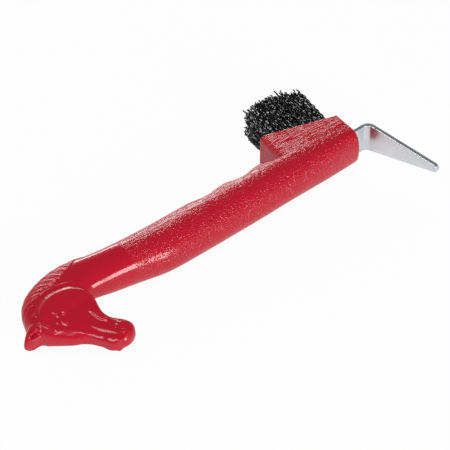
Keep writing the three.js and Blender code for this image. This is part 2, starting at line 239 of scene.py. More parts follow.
FORELOCK = ((-183.6, -7.4, 5.2), (-184.4, -8.6, 4.8), (-184.8, -9.8, 4.2))
EAR_RIM = ((-196.2, -3.8, 3.9), (-192.2, -3.5, 5.5), (-187.9, -2.1, 5.6))
EAR_HOLLOW = ((-194.8, -4.5, 4.3), (-192.3, -4.6, 4.9), (-189.9, -4.4, 5.4))
EAR_FOLD = ((-195.5, -4.8, 3.6), (-192.1, -5.3, 3.3), (-189.7, -5.8, 3.4))
JOWL_FOLD = (
    (-182.2, 10.1, 5.8),
    (-179.8, 11.4, 6),
    (-176.3, 12.1, 6.4),
    (-171.2, 11.6, 6.8),
    (-168.9, 11.3, 7),
    (-165.3, 9.9, 7.3),
    (-160.9, 7.4, 7.4),
    (-156.5, 5, 6.7),
)
HEAD_LINES = (
    (BROW, 0.47, 1, 1),
    (UPPER_LID, 0.48, 0.95, 0.95),
    (LOWER_LID, 0.5, 0.85, 0.75),
    (CHEEK_RIDGE, 0.36, 0.9, 0.9),
    (CHEEK_GROOVE, -0.3, 0.9, 0.9),
    (NOSE_GROOVE, 0.36, 0.9, 1.1),
    (TEMPLE, 0.22, 1.2, 1.2),
    (NOSTRIL_WING, 0.5, 1, 1),
    (NOSTRIL_TOP, 0.45, 1, 1),
    (FOREHEAD, 0.95, 1.4, 1.3),
    (FORELOCK, -0.3, 0.5, 0.5),
    (EAR_RIM, 0.5, 0.8, 0.8),
    (EAR_HOLLOW, -1.7, 0.6, 1.7),
    (EAR_FOLD, 0.5, 0.8, 0.8),
    (JOWL_FOLD, 0.3, 0.7, 0.7),
)
# A line's ends fade over this share of its length, to this share of its rise.
LINE_END = 0.2
LINE_END_RISE = 0.3
# Small bumps: place as above, rise and half the width.
HEAD_BUMPS = (
    (-175.3, -4, 6.1, 0.75, 1),
    (-180.3, -5.8, 5.8, 0.5, 1.1),
    (-186, 3.9, 5.9, 0.48, 1.1),
    (-155.6, -25.5, 4.7, 0.5, 1.2),
    (-158.9, -28.7, 4.5, 0.5, 1.3),
    (-159.6, -27.1, 4.8, 0.35, 1),
    (-163.9, -30, 3.2, 0.7, 1.3),
)

# The brush. Roots fill this share of a tuft's field, to each side of its middle, and tips this.
ROOT_SPREAD = 0.48
TIP_SPREAD = 0.56
# The brush is cut highest here, as a share of half its length from its middle.
TRIM_CREST = 0.2
# The crimp's direction, measured from the slope, and its spread, in radians; and its phase's spread.
CRIMP_HEADING = (0.5, 0.6)
CRIMP_PHASE = 1.2
# A weaker crimp across the first: its share of the depth, and its waves in two pitches.
CROSS_CRIMP = 0.35
CROSS_WAVES = 1.37
FILAMENT_SIDES = 4
CRIMP_STEPS = 6  # rings to a wave
ROOT_SWELL = 0.15  # share of the crimp's depth at the root
STRAY_BEND = 4  # a stray filament leans this much further
TIP_CLEARANCE = 0.1 * MM
BRISTLE_SEED = 7

# The camera that the photograph was taken from, in the strip's frame.
CAMERA_AZIMUTH = math.radians(-38.79)
CAMERA_ELEVATION = math.radians(48.02)
CAMERA_AIM = Vector((-61.41, 39.39)) * MM  # sideways and down, from the frame's middle
CAMERA_DISTANCE = 1167.58 * MM
CAMERA_LENS = 192
CAMERA_SENSOR = 36


# Helpers for meshes


def in_row_frame(points):
    """Points of the strip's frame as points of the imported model's frame."""
    return np.asarray(points, float) + ORIGIN


def within_box(points):
    """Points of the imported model's frame, held inside its box."""
    return np.clip(points, *CAD_BOX)


def mesh_object(name, vertices, faces, smooth=True):
    """A mesh object in the scene."""
    mesh = bpy.data.meshes.new(name)
    mesh.from_pydata([tuple(v) for v in vertices], [], [tuple(f) for f in faces])
    mesh.validate()
    if smooth:
        mesh.shade_smooth()
    piece = bpy.data.objects.new(name, mesh)
    bpy.context.scene.collection.objects.link(piece)
    return piece


def loft(rings):
    """Vertices and faces of a closed skin through rings of equally many points."""
    rings = np.asarray(rings, float)
    count, sides = rings.shape[:2]
    around = np.arange(sides)
    after = (around + 1) % sides
    faces = []
    for ring in range(count - 1):
        near, far = ring * sides, (ring + 1) * sides
        faces += np.stack((near + around, near + after, far + after, far + around), 1).tolist()
    last = (count - 1) * sides
    faces.append(list(reversed(range(sides))))
    faces.append(list(range(last, last + sides)))
    return rings.reshape(-1, 3), faces


def joined(skins):
    """Several skins as the vertices and faces of one mesh."""
    vertices, faces, start = [], [], 0
    for points, corners in skins:
        vertices.append(points)
        faces += [[start + c for c in face] for face in corners]
        start += len(points)
    return np.concatenate(vertices), faces


def curve_through(rows, count):
    """Rows of a table filled in to count rows, on a smooth curve through them."""
    rows = np.asarray(rows, float)
    last = len(rows) - 1
    place = np.linspace(0, last, count)
    low = np.minimum(place.astype(int), last - 1)
    t = (place - low)[:, None]
    before, here = rows[np.maximum(low - 1, 0)], rows[low]
    there, after = rows[low + 1], rows[np.minimum(low + 2, last)]
    ease = t * t * (3 - 2 * t)
    slope_in = (there - before) / 2 * t * (1 - t) ** 2
    slope_out = (after - here) / 2 * t * t * (1 - t)
    return here + (there - here) * ease + slope_in - slope_out


def smoothstep(low, high, value):
    t = np.clip((value - low) / (high - low), 0, 1)
    return t * t * (3 - 2 * t)


def along_line(places, line):
    """For each place: its distance from a line, how far along the line it is, 0 to 1, and whether it
    is on the line's left in the side view."""
    line = np.asarray(line, float)
    start, step = line[:-1], np.diff(line, axis=0)
    lengths = np.linalg.norm(step, axis=1)
    done = np.concatenate(((0,), np.cumsum(lengths)))
    best = np.full(len(places), np.inf)
    share = np.zeros(len(places))
    left = np.zeros(len(places), bool)
    for i in range(len(step)):
        t = np.clip((places - start[i]) @ step[i] / lengths[i] ** 2, 0, 1)
        away = np.linalg.norm(places - start[i] - t[:, None] * step[i], axis=1)
        nearer = away < best
        best = np.where(nearer, away, best)
        share = np.where(nearer, (done[i] + t * lengths[i]) / done[-1], share)
        turn = step[i, 0] * (places[:, 1] - start[i, 1]) - step[i, 1] * (places[:, 0] - start[i, 0])
        left = np.where(nearer, turn > 0, left)
    return best, share, left


# The handle


def ring_rows(rows, stations, sides, groove=None, hollow=0):
    """Rings through rows of [outer x, outer y, inner x, inner y, half thickness, squareness, outer
    squareness, taper]. A hollow is pressed into the outer edge on either side of its middle, and
    ends a little short of the last ring."""
    rows = curve_through(rows, stations)
    turn = -2 * np.pi * np.arange(sides) / sides
    cos, sin = np.cos(turn), np.sin(turn)
    rings = []
    for station, row in enumerate(rows):
        outer_x, outer_y, inner_x, inner_y, half, squareness, outer_squareness, taper = row
        power = 2 / np.where(cos > 0, outer_squareness, squareness)
        across = np.sign(cos) * np.abs(cos) ** power
        upward = np.sign(sin) * np.abs(sin) ** power
        share = (1 + across) / 2
        middle = math.sin(math.pi * min(1, HOLLOW_RATE * station / (stations - 1)))
        share = share - hollow * middle * np.sin(np.pi * np.abs(upward)) ** 2 * (cos > 0)
        dip = groove(inner_x) * np.maximum(0, cos) if groove else 0
        ring = (
            inner_x + share * (outer_x - inner_x),
            inner_y + share * (outer_y - inner_y) - dip,
            half * upward * (1 - taper * share),
        )
        rings.append(np.stack(ring, 1))
    return rings


def head_rows(shares, sizes, outer_squareness=(), tapers=()):
    """Rows of shares of the head as rows for ring_rows."""
    reach, height = sizes.head_reach, sizes.head_height
    outer_squareness = outer_squareness or [row[-1] for row in shares]
    tapers = tapers or [0] * len(shares)
    rows = zip(shares, outer_squareness, tapers)
    return [
        (
            -sizes.grip_length - reach * out_x,
            height * out_y,
            -sizes.grip_length - reach * in_x,
            height * in_y,
            sizes.head_thickness * half,
            squareness,
            outer,
            taper,
        )
        for (out_x, out_y, in_x, in_y, half, squareness), outer, taper in rows
    ]


def grip_rows(sizes):
    return [
        (
            -sizes.grip_length * along,
            sizes.grip_width * (middle + half),
            -sizes.grip_length * along,
            sizes.grip_width * (middle - half),
            sizes.grip_thickness * thickness,
            squareness,
            squareness,
            0,
        )
        for along, middle, half, thickness, squareness in GRIP_SHARES
    ]


def finger_groove(sizes):
    """A function that gives the depth of the finger grooves at x."""

    def depth(x):
        total = 0
        for place, share in FINGER_SHARES:
            away = abs(x + place * sizes.grip_length) / sizes.groove_reach
            if away < 1:
                total += share * sizes.groove_depth * math.cos(away * math.pi / 2) ** 2
        return total

    return depth


def brush_block(sizes):
    """The wedge under the brush: plan outlines stacked along y, from inside the grip to past the
    brush face, which cuts them off."""
    half, corner = sizes.block_thickness / 2, sizes.block_corner
    turn = np.linspace(0, np.pi / 2, 9)
    rings = []
    for y in np.linspace(BLOCK_START, sizes.block_high + BLOCK_SPARE, 40):
        back = -sizes.block_length - sizes.block_foot * (1 - y / sizes.block_high)
        round_x = back + corner * (1 - np.sin(turn))
        round_z = half - corner * (1 - np.cos(turn))
        x = np.concatenate(((0,), round_x, round_x[::-1], (0,)))
        z = np.concatenate(((half,), round_z, -round_z[::-1], (-half,)))
        rings.append(np.stack((x, np.full(len(x), y), z), 1))
    block = bmesh.new()
    vertices, faces = loft(rings)
    made = [block.verts.new(v) for v in vertices]
    for face in faces:
        block.faces.new([made[i] for i in face])
    rise = sizes.block_high - sizes.block_low
    normal = Vector((rise, sizes.block_length, 0)).normalized()
    cut = bmesh.ops.bisect_plane(
        block,
        geom=block.verts[:] + block.edges[:] + block.faces[:],
        plane_co=(0, sizes.block_low, 0),
        plane_no=normal,
        clear_outer=True,
    )
    edges = [e for e in cut["geom_cut"] if isinstance(e, bmesh.types.BMEdge)]
    bmesh.ops.holes_fill(block, edges=edges)
    bmesh.ops.recalc_face_normals(block, faces=block.faces[:])
    block.verts.index_update()
    points = np.array([v.co for v in block.verts])
    corners = [[v.index for v in f.verts] for f in block.faces]
    block.free()
    return points, corners


def evaluated(piece, **settings):
    """A piece's mesh with modifiers applied: each setting is a modifier type and its values."""
    for kind, values in settings.items():
        modifier = piece.modifiers.new(kind, kind)
        for key, value in values.items():
            setattr(modifier, key, value)
    graph = bpy.context.evaluated_depsgraph_get()
    mesh = bpy.data.meshes.new_from_object(piece.evaluated_get(graph))
    piece.modifiers.clear()
    old, piece.data = piece.data, mesh
    bpy.data.meshes.remove(old)
    return piece


def mesh_arrays(mesh):
    points = np.empty(len(mesh.vertices) * 3)
    mesh.vertices.foreach_get("co", points)
    normals = np.empty(len(mesh.vertices) * 3)
    mesh.vertex_normals.foreach_get("vector", normals)
    return points.reshape(-1, 3), normals.reshape(-1, 3)


def mane_places(side):
    """Where each place of the side view lies in the mane: its lock as a running number, whose
    fraction is the share across the lock, how far down the lock it is, and how much it counts."""
    partings = [curve_through(parting, 17) * MM for parting in MANE_PARTINGS]
    away, share, passed = zip(*(along_line(side, parting) for parting in partings))
    away, share = np.array(away), np.array(share)
    gap = np.clip(np.sum(passed, 0) - 1, 0, len(partings) - 2)
    here = np.arange(len(side))
    near, far = away[gap, here], away[gap + 1, here]
    across = near / np.maximum(near + far, 1e-9)
    spread = np.array([np.linalg.norm(a - b, axis=1).max() for a, b in zip(partings, partings[1:])])
    inside = 1 - smoothstep(*MANE_EDGE, (near + far) / spread[gap])
    reach = share[gap, here] * (1 - across) + share[gap + 1, here] * across
    place = gap + across
    tip = 1 - LOCK_STAGGER * (gap % 2) - LOCK_ROUND * (2 * across - 1) ** 2
    inside = inside * (1 - smoothstep(tip - LOCK_TIP, tip, reach))
    last = len(partings) - 1
    at_grip = smoothstep(last - MANE_AT_GRIP, last, place)
    inside = inside * smoothstep(0, MANE_BEHIND_EARS, place) * (1 - at_grip)
    return place, reach, inside


def mane_relief(side, sizes):
    """Rise of the mane at each place of the side view: round locks of combed strands."""
    place, reach, inside = mane_places(side)
    lock = 1 - (2 * (place % 1) - 1) ** 2
    strand = np.sin(np.pi * place * sizes.mane_strands) ** 2
    lift = sizes.mane_height * (LOCK_FLAT + LOCK_CROWN * lock) * smoothstep(*MANE_CREST, reach)
    return (lift - sizes.mane_groove * (1 - strand)) * inside


def sculpt_head(points, normals, sizes):
    """Moves the vertices of the smooth moulding where mane, cheek, eyes, nostrils and ears are."""
    side = points[:, :2]
    up = np.abs(normals[:, 2])
    folded = points * (1, 1, 0)
    folded[:, 2] = np.abs(points[:, 2])
    neck = smoothstep(6 * MM, 9 * MM, -sizes.grip_length - points[:, 0])

    # The cheek stands up behind a rim towards the neck and fades out towards the mouth
    middle = np.array(CHEEK_MIDDLE) * MM
    rim = curve_through(CHEEK_RIM, 60) * MM - middle
    rim_angle = np.arctan2(rim[:, 1], rim[:, 0])
    order = np.argsort(rim_angle)
    away = side - middle
    angle = np.arctan2(away[:, 1], away[:, 0])
    edge = np.interp(angle, rim_angle[order], np.linalg.norm(rim, axis=1)[order])
    past_rim = np.linalg.norm(away, axis=1) - edge
    inside = 1 - smoothstep(CHEEK_STEP[0] * MM, CHEEK_STEP[1] * MM, past_rim)
    sheet = smoothstep(CHEEK_FADE[0] * MM, CHEEK_FADE[1] * MM, side[:, 1])
    rise = sizes.cheek_height * inside * sheet * up

    for line, height, start_width, end_width in HEAD_LINES:
        away, share, _ = along_line(folded, curve_through(line, 30) * MM)
        width = start_width + (end_width - start_width) * share
        fade = smoothstep(0, LINE_END, share) * (1 - smoothstep(1 - LINE_END, 1, share))
        fade = LINE_END_RISE + (1 - LINE_END_RISE) * fade
        rise += height * MM * fade * np.exp(-((away / (width * MM)) ** 2))
    for *place, height, width in HEAD_BUMPS:
        away = np.linalg.norm(folded - np.array(place) * MM, axis=1)
        rise += height * MM * np.exp(-((away / (width * MM)) ** 2))
    rise += mane_relief(side, sizes)
    return points + normals * (rise * neck)[:, None]


def handle_object(sizes):
    """The whole moulding as one skin: lofts joined by a remesh, smoothed, then modelled."""
    rows = grip_rows(sizes) + head_rows(NECK_SHARES, sizes)
    head = head_rows(HEAD_SHARES, sizes, NOSE_SQUARENESS, NOSE_TAPER)
    ears = head_rows(EAR_SHARES, sizes)
    skins = (
        loft(ring_rows(rows, *GRIP_MESH, finger_groove(sizes))),
        loft(ring_rows(head, *HEAD_MESH)),
        loft(ring_rows(ears, *EAR_MESH, hollow=sizes.ear_hollow)),
        brush_block(sizes),
    )
    piece = mesh_object("handle_moulding", *joined(skins))
    evaluated(piece, REMESH={"mode": "VOXEL", "voxel_size": sizes.detail, "use_smooth_shade": True})
    evaluated(piece, SMOOTH={"factor": 0.5, "iterations": 12})
    # The ears blend into the forehead
    points, _ = mesh_arrays(piece.data)
    away = np.linalg.norm(points[:, :2] - np.array(EAR_FOOT) * MM, axis=1)
    foot = piece.vertex_groups.new(name="foot")
    foot.add(np.nonzero(away < EAR_FOOT_REACH * MM)[0].tolist(), 1, "REPLACE")
    evaluated(piece, SMOOTH={"factor": 0.5, "iterations": 40, "vertex_group": foot.name})
    points, normals = mesh_arrays(piece.data)
    points = sculpt_head(points, normals, sizes)
    piece.data.vertices.foreach_set("co", points.ravel())
    # Faces are saved on the plain grip, not on the head
    plain = piece.vertex_groups.new(name="plain")
    plain.add(np.nonzero(points[:, 0] > -sizes.grip_length)[0].tolist(), 1, "REPLACE")
    share = sizes.faces / (2 * len(piece.data.polygons))
    fewer = {"ratio": min(1, share), "vertex_group": plain.name, "vertex_group_factor": 1}
    evaluated(piece, SMOOTH={"factor": 0.4, "iterations": 1}, DECIMATE=fewer)
    points, _ = mesh_arrays(piece.data)
    place, _, inside = mane_places(points[:, :2])
    for name, values in (("mane_place", place), ("mane_inside", inside)):
        piece.data.attributes.new(name, "FLOAT", "POINT").data.foreach_set("value", values)
    piece.data.vertices.foreach_set("co", within_box(in_row_frame(points)).ravel())
    piece.data.shade_smooth()
    piece.data.update()
    return piece


# The pick


def pick_object(sizes):
    """The steel strip: a section with rounded edges swept round the bend and tapered to a round tip."""
    gauge = STRIP_GAUGE / 2
    edge = sizes.strip_edge
    round_steps = 4
    tip_end = math.pi / 2 * 0.97  # the round tip ends in a very narrow section

    def section(x, y, turn, width):
        wide = max(width / 2, edge)
        ring = []
        for side_up, side_out in ((1, 1), (-1, 1), (-1, -1), (1, -1)):
            for step in range(round_steps + 1):
                angle = math.pi / 2 * step / round_steps
                if side_up * side_out < 0:
                    angle = math.pi / 2 - angle
                up = side_up * (gauge - edge + edge * math.cos(angle))
                out = side_out * (wide - edge + edge * math.sin(angle))
                ring.append((x + up * math.sin(turn), y + up * math.cos(turn), out))
        return ring

    bend, radius = sizes.bend_angle, sizes.bend_radius
    rings = [section(x, 0, 0, sizes.strip_width) for x in np.linspace(-TANG_LENGTH, 0, 6)]
    for turn in np.linspace(0, bend, 25):
        x = sizes.shank_length + radius * math.sin(turn)
        y = radius * (math.cos(turn) - 1)
        rings.append(section(x, y, turn, sizes.strip_width))
    start_x, start_y = x, y
    tip_radius = sizes.tip_width / 2
    straight = sizes.blade_length - tip_radius
    steps = [(straight * s, None) for s in np.linspace(0.04, 0.96, 12)]
    steps += [(straight + tip_radius * math.sin(t), t) for t in np.linspace(0, tip_end, 16)]
    for along, turn in steps:
        share = along / straight
        width = sizes.strip_width + (sizes.tip_width - sizes.strip_width) * share
        if turn is not None:
            width = sizes.tip_width * math.cos(turn)
        x = start_x + along * math.cos(bend)
        y = start_y - along * math.sin(bend)
        rings.append(section(x, y, bend, width))
    vertices, faces = loft(rings)
    return mesh_object("pick_strip", within_box(in_row_frame(vertices)), faces)


# The brush


def brush_frame(handle, brush):
    """Middle and axes of the bristles' field, down the slope and out of the face, and its length."""
    rise = handle.block_high - handle.block_low
    slope = math.atan2(rise, handle.block_length)
    down = np.array((math.cos(slope), -math.sin(slope), 0))
    out = np.array((math.sin(slope), math.cos(slope), 0))
    length = math.hypot(rise, handle.block_length) - brush.end_margin - brush.back_margin
    corner = np.array((-handle.block_length, handle.block_high, 0))
    middle = corner + down * (brush.back_margin + length / 2)
    return middle, down, out, length


def strand_skin(root, tip, way, phase, brush, rng):
    """Rings of a crimped filament from root to tip, whose middle waves to and fro along a way."""
    axis = tip - root
    length = np.linalg.norm(axis)
    axis = axis / length
    cross = np.cross(axis, way)
    along = np.linspace(0, length, int(CRIMP_STEPS * length / brush.crimp_pitch))
    swell = np.clip(along / (2 * brush.crimp_pitch), ROOT_SWELL, 1)
    wave = np.sin(2 * np.pi * along / brush.crimp_pitch + phase)
    cross_wave = CROSS_CRIMP * np.sin(CROSS_WAVES * np.pi * along / brush.crimp_pitch + 2 * phase)
    bow = (along / length) ** 2 * brush.wander
    lean = rng.normal(0, 1, 2)
    first = brush.crimp_depth * swell * wave + bow * lean[0]
    second = brush.crimp_depth * cross_wave + bow * lean[1]
    middle = root + along[:, None] * axis + first[:, None] * way + second[:, None] * cross
    turn = 2 * np.pi * (np.arange(FILAMENT_SIDES) + rng.random()) / FILAMENT_SIDES
    ring = np.cos(turn)[:, None] * way + np.sin(turn)[:, None] * cross
    return middle[:, None, :] + brush.strand_thickness / 2 * ring[None, :, :]


def bristle_row_object(row, rows, handle, brush, rng):
    """One row of tufts: filaments that leave each hole in a round bundle and spread into the next."""
    middle, down, out, length = brush_frame(handle, brush)
    across = np.array((0, 0, 1.0))
    width = handle.block_thickness - 2 * brush.side_margin
    lean = np.array((math.sin(brush.tuft_tilt), math.cos(brush.tuft_tilt), 0))
    pitch_x, pitch_z = length / brush.tufts, width / rows
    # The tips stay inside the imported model's box, crimps and all
    highest = CAD_BOX[1][1] - ORIGIN[1] - TIP_CLEARANCE
    widest = CAD_BOX[1][2] - ORIGIN[2] - brush.crimp_depth - brush.strand_thickness / 2
    skins = []
    for tuft in range(brush.tufts):
        foot_x = (tuft - (brush.tufts - 1) / 2) * pitch_x
        foot_z = (row - (rows - 1) / 2) * pitch_z
        for _ in range(brush.strands):
            reach, angle = math.sqrt(rng.random()), rng.random() * 2 * math.pi
            near_x, near_z = reach * math.cos(angle), reach * math.sin(angle)
            root_x = foot_x + near_x * pitch_x * ROOT_SPREAD
            root_z = foot_z + near_z * pitch_z * ROOT_SPREAD
            # The round bundle opens into a square that meets its neighbours
            open_out = TIP_SPREAD / max(abs(math.cos(angle)), abs(math.sin(angle)))
            tip_x = foot_x + near_x * pitch_x * open_out
            tip_z = foot_z + near_z * pitch_z * open_out
            endwise, sideways = 2 * tip_x / length, 2 * tip_z / width
            trim = brush.end_trim * (endwise - TRIM_CREST) ** 2 + brush.side_trim * sideways**2
            stray = rng.random() < brush.stray_share
            up = brush.length - trim + rng.normal(0, brush.uneven) + stray * brush.uneven
            splay = rng.normal(0, brush.wander * (STRAY_BEND if stray else 1), 2)
            tip_x += splay[0] - endwise * brush.end_gather
            tip_z += splay[1] + sideways * brush.side_splay
            tip_z = min(max(tip_z, -widest), widest)
            up = min(up, brush.length, (highest - middle[1] - down[1] * tip_x) / lean[1])
            root = middle + down * root_x + across * root_z - out * brush.depth
            tip = middle + down * tip_x + across * tip_z + lean * up
            axis = (tip - root) / np.linalg.norm(tip - root)
            heading = rng.normal(*CRIMP_HEADING)
            way = math.cos(heading) * down + math.sin(heading) * across
            way = way - axis * (way @ axis)
            way /= np.linalg.norm(way)
            phase = rng.normal(0, CRIMP_PHASE)
            skins.append(loft(strand_skin(root, tip, way, phase, brush, rng)))
    vertices, faces = joined(skins)
    return mesh_object(f"bristles_{row + 1}", within_box(in_row_frame(vertices)), faces, smooth=False)


# Finishes

# The plastic's grain. It starts this far from the end face. Real pebbles are about 0.5 mm across,
# too fine to show, so they are drawn a little coarser; the lines are much longer than wide. Sizes
# are in millimetres along x, y and z.
GRAIN_START = 132.4 * MM
GRAIN_SLANT = 0.06
GRAIN_BLUR = 0.3 * MM
GRAIN_DEPTH = 0.4 * MM
PEBBLE_SIZE = (0.9, 0.7, 0.7)
LINE_SIZE = (9, 0.5, 0.5)
LINE_TURN = math.radians(5)
# The lines take over between these heights above the strip.
FLANK_START = 4.6 * MM
FLANK_END = 7 * MM
STRAND_RELIEF = 0.12  # the mane's strands, as a share of the grain's depth
# The plating's grit is finer than this in the real strip, and is drawn as coarse as it has to be.
GRIT_SIZE = 0.5 * MM
# Pale flecks painted on a filament as glints, and the drawn grain of the anchor wire: sizes along x, y and z.
PAINTED_GLINT_SIZE = (0.6 * MM, 1.6 * MM, 0.6 * MM)
DRAWN_SIZE = (2 * MM, 0.2 * MM, 0.2 * MM)


def linear(hex_colour):
    """A colour written as sRGB hex, as the linear colour that the shader takes."""
    parts = (int(hex_colour[i : i + 2], 16) / 255 for i in (1, 3, 5))
    return (*(p / 12.92 if p <= 0.04045 else ((p + 0.055) / 1.055) ** 2.4 for p in parts), 1)


def node(tree, kind, inputs=None, **settings):
    """Adds a node, sets its settings, and sets or links its inputs by name or number."""
    made = tree.nodes.new("ShaderNode" + kind)
    for key, value in settings.items():
        setattr(made, key, value)
    for key, value in (inputs or {}).items():
        if isinstance(value, bpy.types.NodeSocket):
            tree.links.new(value, made.inputs[key])
        else:
            made.inputs[key].default_value = value
    return made


def new_material(name):
    material = bpy.data.materials.new(name)
    material.use_nodes = True
    material.node_tree.nodes.clear()
    return material, material.node_tree


def moulded_polypropylene(finish, strands):
    """Injection-moulded red polypropylene. Polished on head and neck, where it mirrors the lamps in
    sharp streaks; grained like leather on grip and block, where the same light breaks up into specks."""
    material, tree = new_material("moulded_polypropylene")
    place = node(tree, "TexCoord").outputs["Object"]
    x, y, _ = node(tree, "SeparateXYZ", {0: place}).outputs[:3]
    # The grain starts on a slightly slanted line round the neck
    slant = node(tree, "Math", {0: y, 1: GRAIN_SLANT, 2: x}, operation="MULTIPLY_ADD").outputs[0]
    edge_x = ORIGIN[0] - GRAIN_START
    step = {0: slant, 1: edge_x - GRAIN_BLUR, 2: edge_x + GRAIN_BLUR}
    grained = node(tree, "MapRange", step, interpolation_type="SMOOTHSTEP").outputs[0]

    def grain(kind, size, turn=0, **inputs):
        scale = [1 / (s * MM) for s in size]
        turned = node(tree, "Mapping", {0: place, "Rotation": (0, 0, turn)}).outputs[0]
        sized = node(tree, "Mapping", {0: turned, "Scale": scale}).outputs[0]
        return node(tree, kind, {0: sized, "Scale": 1, **inputs}).outputs[0]

    # Pebbles on top and below; on the flank towards the brush and on the block's sides, long lines
    pebbles = grain("TexNoise", PEBBLE_SIZE, Detail=0)
    pebbles = node(tree, "MapRange", {0: pebbles, 1: 0.5, 2: 0.72, 3: 0, 4: 0.3}).outputs[0]
    lines = grain("TexNoise", LINE_SIZE, turn=LINE_TURN, Detail=1, Roughness=0.6)
    lines = node(tree, "MapRange", {0: lines, 1: 0.42, 2: 0.75, 3: 0, 4: 0.4}).outputs[0]
    on_flank = {0: y, 1: ORIGIN[1] + FLANK_START, 2: ORIGIN[1] + FLANK_END}
    on_flank = node(tree, "MapRange", on_flank, interpolation_type="SMOOTHSTEP").outputs[0]
    relief = node(tree, "Mix", {0: on_flank, 2: pebbles, 3: lines}, data_type="FLOAT").outputs[0]
    relief = node(tree, "Math", {0: relief, 1: grained}, operation="MULTIPLY").outputs[0]
    # The mane's strands, sharper than the mesh can hold them
    lock = node(tree, "Attribute", attribute_name="mane_place").outputs["Fac"]
    inside = node(tree, "Attribute", attribute_name="mane_inside").outputs["Fac"]
    strand = node(tree, "Math", {0: lock, 1: math.pi * strands}, operation="MULTIPLY")
    strand = node(tree, "Math", {0: strand.outputs[0]}, operation="SINE").outputs[0]
    strand = node(tree, "Math", {0: strand, 1: 2}, operation="POWER").outputs[0]
    strand = node(tree, "Math", {0: strand, 1: inside}, operation="MULTIPLY").outputs[0]
    relief = {0: strand, 1: STRAND_RELIEF, 2: relief}
    relief = node(tree, "Math", relief, operation="MULTIPLY_ADD").outputs[0]
    bump = node(tree, "Bump", {"Strength": 1, "Distance": GRAIN_DEPTH, "Height": relief}).outputs[0]
    rough = node(tree, "MapRange", {0: grained, 3: 0.14, 4: 0.2}).outputs[0]
    rough = node(tree, "Math", {0: inside, 1: 0.14, 2: rough}, operation="MULTIPLY_ADD").outputs[0]
    cloud = node(tree, "TexNoise", {0: place, "Scale": 45, "Detail": 2}).outputs[0]
    tones = {0: cloud, 6: linear(finish.red_deep), 7: linear(finish.red)}
    colour = node(tree, "Mix", tones, data_type="RGBA").outputs[2]
    shader = {"Base Color": colour, "Roughness": rough, "Normal": bump, "IOR": 1.46}
    shader = node(tree, "BsdfPrincipled", shader)
    node(tree, "OutputMaterial", {"Surface": shader.outputs[0]})
    return material


def zinc_plated_steel(finish):
    """Cold-rolled steel strip with bright zinc plating: a satin metal that blurs what it mirrors,
    with faint clouds of the plating bath."""
    material, tree = new_material("zinc_plated_steel")
    place = node(tree, "TexCoord").outputs["Object"]
    cloud = node(tree, "TexNoise", {0: place, "Scale": 260, "Detail": 4, "Roughness": 0.6}).outputs[0]
    colour = node(
        tree, "Mix", {0: cloud, 6: linear(finish.zinc_dull), 7: linear(finish.zinc)}, data_type="RGBA"
    ).outputs[2]
    rough = node(tree, "MapRange", {0: cloud, 3: 0.2, 4: 0.3}).outputs[0]
    grit = node(tree, "TexNoise", {0: place, "Scale": 1 / GRIT_SIZE, "Detail": 2}).outputs[0]
    bump = node(tree, "Bump", {"Strength": 0.03, "Distance": 0.1 * MM, "Height": grit}).outputs[0]
    shader = node(
        tree,
        "BsdfPrincipled",
        {"Base Color": colour, "Metallic": 1, "Roughness": rough, "Normal": bump},
    )
    node(tree, "OutputMaterial", {"Surface": shader.outputs[0]})
    return material


def crimped_filament(finish):
    """Extruded black polypropylene filament: near black with a hard shine, so each crimp glints, and
    with pale flecks painted into its colour as painted glints on the crimps."""
    material, tree = new_material("crimped_filament")
    place = node(tree, "TexCoord").outputs["Object"]
    painted_glint_place = node(tree, "Mapping", {0: place, "Scale": [1 / s for s in PAINTED_GLINT_SIZE]}).outputs[0]
    painted_glint = node(tree, "TexNoise", {0: painted_glint_place, "Scale": 1, "Detail": 1}).outputs[0]
    # Pale flecks painted into the colour: painted glints on the crimps, which are also rougher there
    painted_glint = node(tree, "MapRange", {0: painted_glint, 1: 0.635, 2: 0.66}).outputs[0]
    tones = {0: painted_glint, 6: linear(finish.black), 7: linear(finish.black_painted_glint)}
    colour = node(tree, "Mix", tones, data_type="RGBA").outputs[2]
    rough = node(tree, "MapRange", {0: painted_glint, 3: 0.16, 4: 0.35}).outputs[0]
    shader = {"Base Color": colour, "Roughness": rough, "IOR": 1.5}
    shader = node(tree, "BsdfPrincipled", shader)
    node(tree, "OutputMaterial", {"Surface": shader.outputs[0]})
    return material


def galvanised_wire(finish):
    """Flat galvanised anchor wire: dull grey metal with a drawn grain."""
    material, tree = new_material("galvanised_wire")
    place = node(tree, "TexCoord").outputs["Object"]
    drawn_place = node(tree, "Mapping", {0: place, "Scale": [1 / s for s in DRAWN_SIZE]}).outputs[0]
    drawn = node(tree, "TexNoise", {0: drawn_place, "Scale": 1, "Detail": 2}).outputs[0]
    rough = node(tree, "MapRange", {0: drawn, 3: 0.35, 4: 0.55}).outputs[0]
    shader = node(
        tree,
        "BsdfPrincipled",
        {"Base Color": linear(finish.wire), "Metallic": 1, "Roughness": rough},
    )
    node(tree, "OutputMaterial", {"Surface": shader.outputs[0]})
    return material


def sweep_paper(stage):
    """Matt white paper. It keeps the object's shadow, and shows white to the eye and in reflections."""
    material, tree = new_material("sweep_paper")
    path = node(tree, "LightPath").outputs
    mirrored = {0: path["Is Glossy Ray"], 1: stage.floor_mirrored}
    mirrored = node(tree, "Math", mirrored, operation="MULTIPLY").outputs[0]
    seen = node(tree, "Math", {0: path["Is Camera Ray"], 1: mirrored}, operation="MAXIMUM")
    seen = node(
        tree, "Math", {0: seen.outputs[0], 1: path["Is Transmission Ray"]}, operation="MAXIMUM"
    )
    share = node(tree, "Math", {0: seen.outputs[0], 1: stage.floor_glow}, operation="MULTIPLY")
    matt = node(tree, "BsdfDiffuse", {"Color": linear("#FAFAFA")})
    glow = node(tree, "Emission", {"Color": linear("#FFFFFF"), "Strength": 1})
    mixed = node(
        tree, "MixShader", {0: share.outputs[0], 1: matt.outputs[0], 2: glow.outputs[0]}
    )
    node(tree, "OutputMaterial", {"Surface": mixed.outputs[0]})
    return material


# The stage

